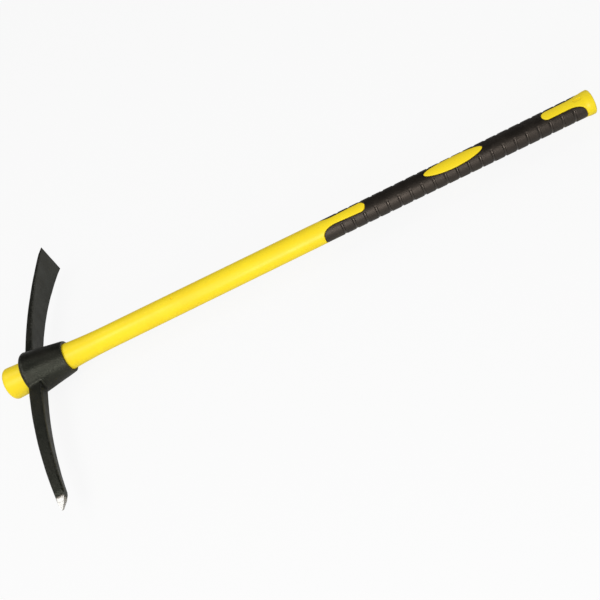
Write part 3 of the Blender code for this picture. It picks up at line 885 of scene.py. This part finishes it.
adze_places = arm_places(ADZE_REACH, ADZE_REACH - ADZE_BEVEL, ADZE_BEVEL / BEVEL_STEPS)
pick_places = arm_places(PICK_REACH, PICK_REACH - POINT_LENGTH, POINT_STEP)
adze = arm("adze", adze_section, 1, adze_places)
pick = arm("pick", pick_section, -1, pick_places)
join(head, "UNION", adze)
join(head, "UNION", pick)
print("head:", len(head.data.polygons), "faces in one body")

# %% [markdown]
# ## Hammer and scale
#
# Forged steel is never quite flat. A slow, shallow noise moves the skin in and out by about a tenth
# of a millimetre, which is enough to break up the long highlights. The bore and the ground point stay
# true. Two values are stored on the points for the paint: how sharp an outside edge is, and where the
# point was ground bare.

# %% Forged skin
FORGED_WAVES = ((0.016, 0.00016), (0.0050, 0.00005))
WEAR_ANGLES = (math.radians(6), math.radians(22))
POINT_TOLERANCE = 0.00003
BARE_START = 0.0130
NARROW_SIDE_BARE = 0.80
STEEL_SHARP = 32


def ground_share(place):
    """Rises to 1 along the wide flats of the point, less far along the narrow ones, and is 0 elsewhere."""
    y = HEAD_END.y - place.y
    along = (y - PICK_REACH + POINT_LENGTH) / BARE_START
    if along <= 0.0:
        return 0.0
    low, high, half = point_pyramid(min(y, PICK_REACH))
    x = place.x - HEAD_END.x
    if abs(place.z - HEAD_END.z) > half - POINT_TOLERANCE:
        return float(smooth(along))
    if x < low + POINT_TOLERANCE or x > high - POINT_TOLERANCE:
        return NARROW_SIDE_BARE * float(smooth(along))
    return 0.0


def in_bore(place):
    offset = place - HEAD_END
    return math.hypot(offset.y, offset.z) < seat_radius(offset.x) + CLEARANCE + 2 * BORE_CHAMFER


def forge(obj):
    shape = bmesh.new()
    shape.from_mesh(obj.data)
    bmesh.ops.triangulate(shape, faces=[face for face in shape.faces if len(face.verts) > 4])
    shape.normal_update()
    low, high = WEAR_ANGLES
    wear, ground, moves = [], [], []
    for vert in shape.verts:
        bends = [edge.calc_face_angle_signed(0.0) for edge in vert.link_edges]
        wear.append(float(smooth((max(bends) - low) / (high - low))))
        ground.append(ground_share(vert.co))
        height = sum(noise.noise(vert.co / size) * depth for size, depth in FORGED_WAVES)
        still = ground[-1] or in_bore(vert.co) or HEAD_END.y - vert.co.y > PICK_REACH - POINT_LENGTH
        moves.append(vert.normal * (0.0 if still else height))
    for vert, move in zip(shape.verts, moves):
        vert.co += move
    open_edges = sum(not edge.is_manifold for edge in shape.edges)
    shape.to_mesh(obj.data)
    shape.free()
    store(obj.data, {"edge_wear": wear, "ground": ground})
    print(f"forged head: {len(obj.data.polygons)} faces, {open_edges} open edges, "
          f"{int(sum(ground))} points ground")


forge(head)
shade(head, STEEL_SHARP)

# %% [markdown]
# ## The fibreglass core
#
# A pultruded glass rod runs inside the plastic from end to end. Only its sawn end shows, a little below the
# rim of the jacket's head end. Its face is made of rings, so that the saw can leave it uneven.

# %% Core
CORE_COLUMNS = 96
CORE_FACE_RINGS = 14
CORE_CHAMFER = 0.0003
SAW_DEPTH = 0.00009
SAW_PITCH = 0.0011
SAW_SLANT = (0.8, 0.6)
SAW_WOBBLE = 2
WOBBLES_PER_METRE = 90


def saw_mark(y, z):
    slant = SAW_SLANT[0] * y + SAW_SLANT[1] * z
    wobble = SAW_WOBBLE * noise.noise((WOBBLES_PER_METRE * y, WOBBLES_PER_METRE * z, 0.0))
    return SAW_DEPTH * math.sin(math.tau * slant / SAW_PITCH + wobble)


def make_core():
    outline = [(CORE_END, 0.0), (CORE_END, CORE_RADIUS), (CORE_START + CORE_CHAMFER, CORE_RADIUS)]
    face = CORE_RADIUS - CORE_CHAMFER
    outline += [(CORE_START, face * i / CORE_FACE_RINGS) for i in reversed(range(CORE_FACE_RINGS + 1))]
    points = []
    for x, radius in outline:
        for j in range(CORE_COLUMNS):
            _, y, z = round_point(x, math.tau * j / CORE_COLUMNS, radius)
            sawn = abs(saw_mark(y, z)) if x == CORE_START else 0.0
            points.append((x + sawn, y, z))
    return piece("glass_core", points, grid_faces(len(outline), CORE_COLUMNS))


core = make_core()
shade(core, PLASTIC_SHARP)

# %% [markdown]
# ## Effects that several finishes share
#
# Moulded plastic, rubber and paint all have a fine skin and a slow change of tone, and all of them pick up
# scuffs in use. Each effect is one node group, and each finish sets its own sizes. The sizes are in metres,
# so a grain of half a millimetre is half a millimetre on the tool.

# %% Shared node groups
MOTTLE_RANGE = (0.3, 0.7)
SCUFF_TURNS = (0.35, 1.9)
SCUFF_AXIS = (0.2, 0.1, 1.0)
SCUFF_RANGE = (0.66, 0.74)
PATCH_RANGE = (0.75, 0.8)


def shader_group(name, inputs, outputs):
    tree = bpy.data.node_groups.new(name, "ShaderNodeTree")
    tree.interface.new_socket("Vector", in_out="INPUT", socket_type="NodeSocketVector")
    for title in inputs:
        tree.interface.new_socket(title, in_out="INPUT", socket_type="NodeSocketFloat")
    for title in outputs:
        tree.interface.new_socket(title, in_out="OUTPUT", socket_type="NodeSocketFloat")
    return tree, tree.nodes.new("NodeGroupInput").outputs


def noise_at(tree, place, scale, detail, rough=0.5):
    made = add_node(tree, "ShaderNodeTexNoise", {
        "Vector": place, "Scale": scale, "Detail": detail, "Roughness": rough})
    return made.outputs["Fac"]


def ramp(tree, value, low, high, first=0.0, last=1.0):
    made = add_node(tree, "ShaderNodeMapRange", {
        "Value": value, "From Min": low, "From Max": high, "To Min": first, "To Max": last,
    }, interpolation_type="SMOOTHSTEP")
    return made.outputs["Result"]


def make_skin_group():
    """Fine grain as a height, and slow mottling as a mask."""
    tree, given = shader_group("skin", ("Grain Size", "Mottle Size"), ("Height", "Mottle"))
    fine = noise_at(tree, given["Vector"], calculate(tree, "DIVIDE", 1.0, given["Grain Size"]), 3.0)
    slow = noise_at(tree, given["Vector"], calculate(tree, "DIVIDE", 1.0, given["Mottle Size"]), 4.0, 0.6)
    add_node(tree, "NodeGroupOutput", {"Height": fine, "Mottle": ramp(tree, slow, *MOTTLE_RANGE)})
    return tree


def make_scuff_group():
    """Thin rubbed streaks in two directions, gathered in patches."""
    tree, given = shader_group("scuffs", ("Length", "Width", "Cover"), ("Mask",))
    masks = []
    long_share = calculate(tree, "DIVIDE", 1.0, given["Length"])
    thin_share = calculate(tree, "DIVIDE", 1.0, given["Width"])
    for turn in SCUFF_TURNS:
        turned = add_node(tree, "ShaderNodeVectorRotate", {
            "Vector": given["Vector"], "Angle": turn, "Axis": SCUFF_AXIS}).outputs[0]
        scale = add_node(tree, "ShaderNodeCombineXYZ", {"X": long_share, "Y": thin_share, "Z": thin_share})
        stretched = add_node(tree, "ShaderNodeVectorMath", {0: turned, 1: scale.outputs[0]},
                             operation="MULTIPLY").outputs[0]
        masks.append(ramp(tree, noise_at(tree, stretched, 1.0, 2.0), *SCUFF_RANGE))
    patches = noise_at(tree, given["Vector"], calculate(tree, "MULTIPLY", long_share, 0.5), 2.0)
    patch_low, patch_high = PATCH_RANGE
    where = ramp(tree, patches, calculate(tree, "SUBTRACT", patch_low, given["Cover"]), patch_high)
    mask = calculate(tree, "MULTIPLY", calculate(tree, "MAXIMUM", *masks), where)
    add_node(tree, "NodeGroupOutput", {"Mask": mask})
    return tree


skin_group = make_skin_group()
scuff_group = make_scuff_group()
print("shared groups:", skin_group.name, "and", scuff_group.name)

# %% Finish helpers
def start_finish(material):
    """A material's tree, its Principled shader and the place on the piece."""
    material.use_nodes = True
    tree = material.node_tree
    place = add_node(tree, "ShaderNodeTexCoord").outputs["Object"]
    return tree, tree.nodes["Principled BSDF"], place


def dress(obj, material):
    obj.data.materials.clear()
    obj.data.materials.append(material)
    print(obj.name, "dressed in", material.name)


def skin(tree, place, grain, mottle):
    made = add_node(tree, "ShaderNodeGroup", {
        "Vector": place, "Grain Size": grain, "Mottle Size": mottle}, node_tree=skin_group)
    return made.outputs["Height"], made.outputs["Mottle"]


def scuffs(tree, place, length, width, cover):
    made = add_node(tree, "ShaderNodeGroup", {
        "Vector": place, "Length": length, "Width": width, "Cover": cover}, node_tree=scuff_group)
    return made.outputs["Mask"]


def blend(tree, share, first, second):
    """Mixes two colours, each a link or its red, green and blue."""
    under, over = [colour if isinstance(colour, bpy.types.NodeSocket) else (*colour, 1.0)
                   for colour in (first, second)]
    return add_node(tree, "ShaderNodeMix", {0: share, 6: under, 7: over}, data_type="RGBA").outputs[2]


def bump(tree, height, depth, normal=None):
    inputs = {"Height": height, "Distance": depth, "Strength": 1.0}
    if normal:
        inputs["Normal"] = normal
    return add_node(tree, "ShaderNodeBump", inputs).outputs["Normal"]


def attribute(tree, name):
    return add_node(tree, "ShaderNodeAttribute", attribute_name=name).outputs["Fac"]


print("finish helpers ready")

# %% [markdown]
# ## Yellow plastic
#
# The jacket is injection moulded and satin. It has a faint orange-peel skin, its tone drifts a little
# along the shaft, and handling leaves pale, duller scuffs.

# %% Yellow plastic
YELLOW = (0.920, 0.710, 0.009)
YELLOW_DEEP = (0.900, 0.660, 0.005)
YELLOW_RUBBED = (0.940, 0.780, 0.065)
YELLOW_SKIN = dict(grain=0.0022, mottle=0.060)
YELLOW_SCUFFS = dict(length=0.020, width=0.0007, cover=0.30)
YELLOW_ROUGHNESS = (0.38, 0.44)
YELLOW_PEEL_DEPTH = 0.00005
YELLOW_GLOSS = 0.42
SCUFF_PALES = 0.35
SCUFF_DULLS = 0.14


def finish_yellow_plastic():
    material = bpy.data.materials.new("satin_yellow_plastic")
    tree, shader, place = start_finish(material)
    peel, drift = skin(tree, place, **YELLOW_SKIN)
    rubbed = scuffs(tree, place, **YELLOW_SCUFFS)
    colour = blend(tree, drift, YELLOW, YELLOW_DEEP)
    colour = blend(tree, calculate(tree, "MULTIPLY", rubbed, SCUFF_PALES), colour, YELLOW_RUBBED)
    rough = ramp(tree, drift, 0.0, 1.0, *YELLOW_ROUGHNESS)
    fill(tree, shader, {
        "Base Color": colour,
        "Roughness": calculate(tree, "MULTIPLY_ADD", rubbed, SCUFF_DULLS, rough),
        "Normal": bump(tree, peel, YELLOW_PEEL_DEPTH),
        "Specular IOR Level": YELLOW_GLOSS,
    })
    return material


dress(jacket, finish_yellow_plastic())

# %% [markdown]
# ## Black rubber
#
# The sleeve is soft and matt, with a pebbled skin as fine as sand. Dust lightens it in patches. The grooves'
# floors keep the mould's gloss and catch the light, and their colour is painted lighter: a painted sheen,
# with some dust.

# %% Black rubber
RUBBER = (0.0058, 0.0051, 0.0042)
RUBBER_DUSTY = (0.020, 0.0174, 0.0144)
RUBBER_SKIN = dict(grain=0.0005, mottle=0.022)
RUBBER_SCUFFS = dict(length=0.012, width=0.0005, cover=0.25)
RUBBER_ROUGHNESS = (0.47, 0.60)
RUBBER_PEBBLE_DEPTH = 0.00016
RUBBER_GLOSS = 0.76
WARM_GLOSS = (1.0, 0.83, 0.70, 1.0)
DUST_PER_METRE = 900.0
DUST_RANGE = (0.35, 0.75)
SCUFF_DUSTS = 0.5
# painted sheen with some dust: the lighter colour given to the grooves' floors
GROOVE_SHEEN_AND_DUST = (0.018, 0.0158, 0.0134)
GROOVE_FLOOR_RANGE = (0.80, 1.0)
GROOVE_POLISH = -0.16


def finish_black_rubber(material):
    tree, shader, place = start_finish(material)
    pebble, drift = skin(tree, place, **RUBBER_SKIN)
    dust = noise_at(tree, place, DUST_PER_METRE, 3.0, 0.7)
    dusty = calculate(tree, "MULTIPLY", drift, ramp(tree, dust, *DUST_RANGE))
    rubbed = scuffs(tree, place, **RUBBER_SCUFFS)
    worn = calculate(tree, "MAXIMUM", dusty, calculate(tree, "MULTIPLY", rubbed, SCUFF_DUSTS))
    # the grooves' floors: more gloss, and a lighter colour that is a painted sheen with some dust
    floors = ramp(tree, attribute(tree, "groove"), *GROOVE_FLOOR_RANGE)
    rough = ramp(tree, dusty, 0.0, 1.0, *RUBBER_ROUGHNESS)
    fill(tree, shader, {
        "Base Color": blend(tree, floors, blend(tree, worn, RUBBER, RUBBER_DUSTY), GROOVE_SHEEN_AND_DUST),
        "Roughness": calculate(tree, "MULTIPLY_ADD", floors, GROOVE_POLISH, rough),
        "Normal": bump(tree, pebble, RUBBER_PEBBLE_DEPTH),
        "Specular IOR Level": RUBBER_GLOSS,
        "Specular Tint": WARM_GLOSS,
    })


finish_black_rubber(pebbled_rubber)
dress(sleeve, pebbled_rubber)

# %% [markdown]
# ## Painted and ground steel
#
# Black paint lies over the forging's scale, so it has small pits and specks, and it is thin along the
# outside edges, where steel begins to shine through. At the pick's point the paint was ground away: the
# border is ragged, with a brown heat tint, and the steel keeps the lines of the grinding wheel.

# %% Painted steel
PAINT = (0.0048, 0.0058, 0.0043)
PAINT_BROWN = (0.0095, 0.0083, 0.0066)
PAINT_SPECK = (0.090, 0.084, 0.074)
PAINT_THIN = (0.100, 0.098, 0.092)
PAINT_SKIN = dict(grain=0.0020, mottle=0.030)
PAINT_SCUFFS = dict(length=0.016, width=0.0006, cover=0.28)
PAINT_ROUGHNESS = (0.36, 0.48)
PAINT_PEEL_DEPTH = 0.00024
PAINT_GLOSS = 0.52
PAINT_GLOSS_TINT = (0.98, 1.0, 0.80, 1.0)
PITS = dict(size=0.0026, share=0.45)
SPECKS = dict(size=0.0015, share=0.10)
PIT_RANGE = (0.10, 0.34)
PIT_DEPTH = 0.00026
SPECK_SHOWS = 0.55
SCUFF_THINS = 0.35
EDGES_PER_METRE = 420.0
EDGE_RANGE = (0.46, 0.72)
STEEL = (0.74, 0.73, 0.70)
STEEL_TINT = (0.20, 0.165, 0.13)
STEEL_ROUGHNESS = 0.34
RAGS_PER_METRE = 700.0
RAGGEDNESS = 1.1
BARE_RANGE = (0.52, 0.72)
TINT_RANGE = (0.60, 1.05)
GRINDING_SCALE = (120.0, 5200.0, 120.0)
GRINDING_DEPTH = 0.00004


def pitting(tree, place, size, share):
    """Small round pits in the scale: 1 in a pit, 0 outside."""
    cells = add_node(tree, "ShaderNodeTexVoronoi", {"Vector": place, "Scale": 1.0 / size, "Randomness": 1.0})
    draw = add_node(tree, "ShaderNodeSeparateColor", {0: cells.outputs["Color"]}).outputs[0]
    chosen = calculate(tree, "LESS_THAN", draw, share)
    return calculate(tree, "MULTIPLY", ramp(tree, cells.outputs["Distance"], *PIT_RANGE, 1.0, 0.0), chosen)


def grinding_lines(tree, place):
    """Fine lines across the point, left by the wheel."""
    stretched = add_node(tree, "ShaderNodeMapping", {"Vector": place, "Scale": GRINDING_SCALE})
    return noise_at(tree, stretched.outputs[0], 1.0, 3.0, 0.6)


def ground_away(tree, place):
    """How far the grinding has gone, with a ragged border."""
    rags = calculate(tree, "SUBTRACT", noise_at(tree, place, RAGS_PER_METRE, 4.0, 0.65), 0.5)
    return calculate(tree, "MULTIPLY_ADD", rags, RAGGEDNESS, attribute(tree, "ground"))


def paint_colour(tree, place, drift):
    specks = pitting(tree, place, **SPECKS)
    rubbed = scuffs(tree, place, **PAINT_SCUFFS)
    patchy = ramp(tree, noise_at(tree, place, EDGES_PER_METRE, 5.0, 0.7), *EDGE_RANGE)
    edge = calculate(tree, "MULTIPLY", attribute(tree, "edge_wear"), patchy)
    colour = blend(tree, drift, PAINT, PAINT_BROWN)
    colour = blend(tree, calculate(tree, "MULTIPLY", specks, SPECK_SHOWS), colour, PAINT_SPECK)
    colour = blend(tree, calculate(tree, "MULTIPLY", rubbed, SCUFF_THINS), colour, PAINT_THIN)
    return blend(tree, edge, colour, PAINT_THIN)


def finish_painted_steel():
    material = bpy.data.materials.new("paint_over_forging_scale")
    tree, shader, place = start_finish(material)
    peel, drift = skin(tree, place, **PAINT_SKIN)
    ragged = ground_away(tree, place)
    bare = ramp(tree, ragged, *BARE_RANGE)
    tinted = ramp(tree, ragged, *TINT_RANGE, 1.0, 0.0)
    steel = blend(tree, tinted, STEEL, STEEL_TINT)
    rough = ramp(tree, drift, 0.0, 1.0, *PAINT_ROUGHNESS)
    rough = add_node(tree, "ShaderNodeMix", {0: bare, 2: rough, 3: STEEL_ROUGHNESS}).outputs[0]
    painted = calculate(tree, "SUBTRACT", 1.0, bare)
    sunk = calculate(tree, "MULTIPLY", painted, -1.0)
    pits = calculate(tree, "MULTIPLY", pitting(tree, place, **PITS), sunk)
    lines = calculate(tree, "MULTIPLY", grinding_lines(tree, place), bare)
    normal = bump(tree, calculate(tree, "MULTIPLY", peel, painted), PAINT_PEEL_DEPTH)
    normal = bump(tree, pits, PIT_DEPTH, normal)
    fill(tree, shader, {
        "Base Color": blend(tree, bare, paint_colour(tree, place, drift), steel),
        "Roughness": rough,
        "Metallic": bare,
        "Normal": bump(tree, lines, GRINDING_DEPTH, normal),
        "Specular IOR Level": PAINT_GLOSS,
        "Specular Tint": PAINT_GLOSS_TINT,
    })
    return material


dress(head, finish_painted_steel())

# %% [markdown]
# ## Sawn fibreglass
#
# Seen end on, the rod is a bundle of glass rovings in resin: pale, slightly green dots, packed close,
# with the darker resin between them.

# %% Sawn fibreglass
GLASS = (0.42, 0.40, 0.30)
RESIN = (0.24, 0.21, 0.13)
GLASS_SKIN = dict(grain=0.00025, mottle=0.006)
GLASS_ROUGHNESS = (0.62, 0.48)
GLASS_FUZZ_DEPTH = 0.00006
STRANDS_PER_METRE = 900.0
STRAND_RANGE = (0.25, 0.60)
STRAND_SHOWS = 0.75
DRIFT_SHOWS = 0.25


def finish_fibreglass():
    material = bpy.data.materials.new("sawn_fibreglass")
    tree, shader, place = start_finish(material)
    fuzz, drift = skin(tree, place, **GLASS_SKIN)
    bundles = add_node(tree, "ShaderNodeTexVoronoi", {"Vector": place, "Scale": STRANDS_PER_METRE})
    strands = ramp(tree, bundles.outputs["Distance"], *STRAND_RANGE)
    resin = calculate(tree, "MULTIPLY_ADD", drift, DRIFT_SHOWS,
                      calculate(tree, "MULTIPLY", strands, STRAND_SHOWS))
    fill(tree, shader, {
        "Base Color": blend(tree, resin, GLASS, RESIN),
        "Roughness": ramp(tree, strands, 0.0, 1.0, *GLASS_ROUGHNESS),
        "Normal": bump(tree, fuzz, GLASS_FUZZ_DEPTH),
    })
    return material


dress(core, finish_fibreglass())

# %% [markdown]
# ## Floor and light
#
# A white sheet under the tool keeps a faint shadow. Most of its white is given to the camera directly and
# a little of it to reflections, so that no lamp has to be turned up for it. One lamp stands in front of
# the handle's middle and one to the left of the head; weak ones above and behind fill the other sides.
# The room is dark overhead, so that black rubber and paint stay black.

# %% Floor
FLOOR_SIZE = 14.0
FLOOR_PALE = (0.62, 0.62, 0.62, 1.0)
SEEN_WHITE = 0.90
GLOSS_WHITE = 0.14
WHITE = (1.0, 1.0, 1.0, 1.0)


def seen_directly(tree):
    """How white the backdrop is made for the camera, and for gloss and glass."""
    path = add_node(tree, "ShaderNodeLightPath").outputs
    gloss = calculate(tree, "MAXIMUM", path["Is Glossy Ray"], path["Is Transmission Ray"])
    return calculate(tree, "MAXIMUM", calculate(tree, "MULTIPLY", path["Is Camera Ray"], SEEN_WHITE),
                     calculate(tree, "MULTIPLY", gloss, GLOSS_WHITE))


def make_floor():
    mesh = bpy.data.meshes.new("floor")
    half = FLOOR_SIZE / 2
    middle = (cad_low + cad_high) / 2
    signs = ((-1, -1), (1, -1), (1, 1), (-1, 1))
    corners = [(middle.x + a * half, middle.y + b * half, cad_low.z) for a, b in signs]
    mesh.from_pydata(corners, [], [(0, 1, 2, 3)])
    material = bpy.data.materials.new("white_sheet")
    material.use_nodes = True
    tree = material.node_tree
    tree.nodes.clear()
    lit = add_node(tree, "ShaderNodeBsdfDiffuse", {"Color": FLOOR_PALE})
    white = add_node(tree, "ShaderNodeEmission", {"Color": WHITE, "Strength": 1.0})
    mixed = add_node(tree, "ShaderNodeMixShader", {
        0: seen_directly(tree), 1: lit.outputs[0], 2: white.outputs[0]})
    add_node(tree, "ShaderNodeOutputMaterial", {"Surface": mixed.outputs[0]})
    mesh.materials.append(material)
    floor = add_object("floor", mesh)


make_floor()
print("floor at z =", round(cad_low.z, 4))

# %% Light
LAMPS = (
    ("front_lamp", (0.05, -1.60, 0.52), (0.5, 0.6), 13.5),
    ("left_lamp", (-0.85, -0.95, 1.20), (0.6, 0.6), 8.0),
    ("top_lamp", (-1.15, 0.40, 1.50), (0.6, 0.6), 4.0),
    ("back_lamp", (1.30, 1.25, 0.75), (0.5, 0.5), 2.5),
)
WORLD_GREY = 0.50
DARK_ABOVE = 0.03
EYE_LEVEL = (0.20, 0.50)


def add_lamp(name, offset, size, watts):
    data = bpy.data.lights.new(name, "AREA")
    data.shape = "RECTANGLE"
    data.size, data.size_y = size
    data.energy = watts
    lamp = add_object(name, data)
    target = (cad_low + cad_high) / 2
    place = target + Vector(offset)
    turn = (target - place).to_track_quat("-Z", "Y").to_matrix().to_4x4()
    lamp.matrix_world = Matrix.Translation(place) @ turn


def make_world():
    world = bpy.data.worlds.new("studio")
    world.use_nodes = True
    tree = world.node_tree
    tree.nodes.clear()
    upwards = add_node(tree, "ShaderNodeSeparateXYZ", {
        0: add_node(tree, "ShaderNodeTexCoord").outputs["Generated"]}).outputs["Z"]
    wall = ramp(tree, upwards, *EYE_LEVEL, 1.0, DARK_ABOVE)
    hidden = add_node(tree, "ShaderNodeLightPath").outputs["Is Diffuse Ray"]
    seen = calculate(tree, "MULTIPLY", wall, seen_directly(tree))
    strength = calculate(tree, "MULTIPLY_ADD", hidden, WORLD_GREY, seen)
    sky = add_node(tree, "ShaderNodeBackground", {"Color": WHITE, "Strength": strength})
    add_node(tree, "ShaderNodeOutputWorld", {"Surface": sky.outputs[0]})
    bpy.context.scene.world = world


for lamp in LAMPS:
    add_lamp(*lamp)
make_world()
print("lamps:", [name for name, *_ in LAMPS])

# %% [markdown]
# ## Put the pieces on their bodies
#
# Each piece says which body it rides on, which solid of the frame it stands for and which finish it has.

# %% Bodies and finish
PIECES = (
    (jacket, "handle", "handle_jacket", "yellow_plastic"),
    (sleeve, "handle", "grip_sleeve", "black_rubber"),
    (core, "handle", "fibreglass_core", "bare_fibreglass"),
    (head, "head", "pick_mattock_head", "black_paint"),
)
for obj, body, node, finish in PIECES:
    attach(obj, body)
    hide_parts(node)
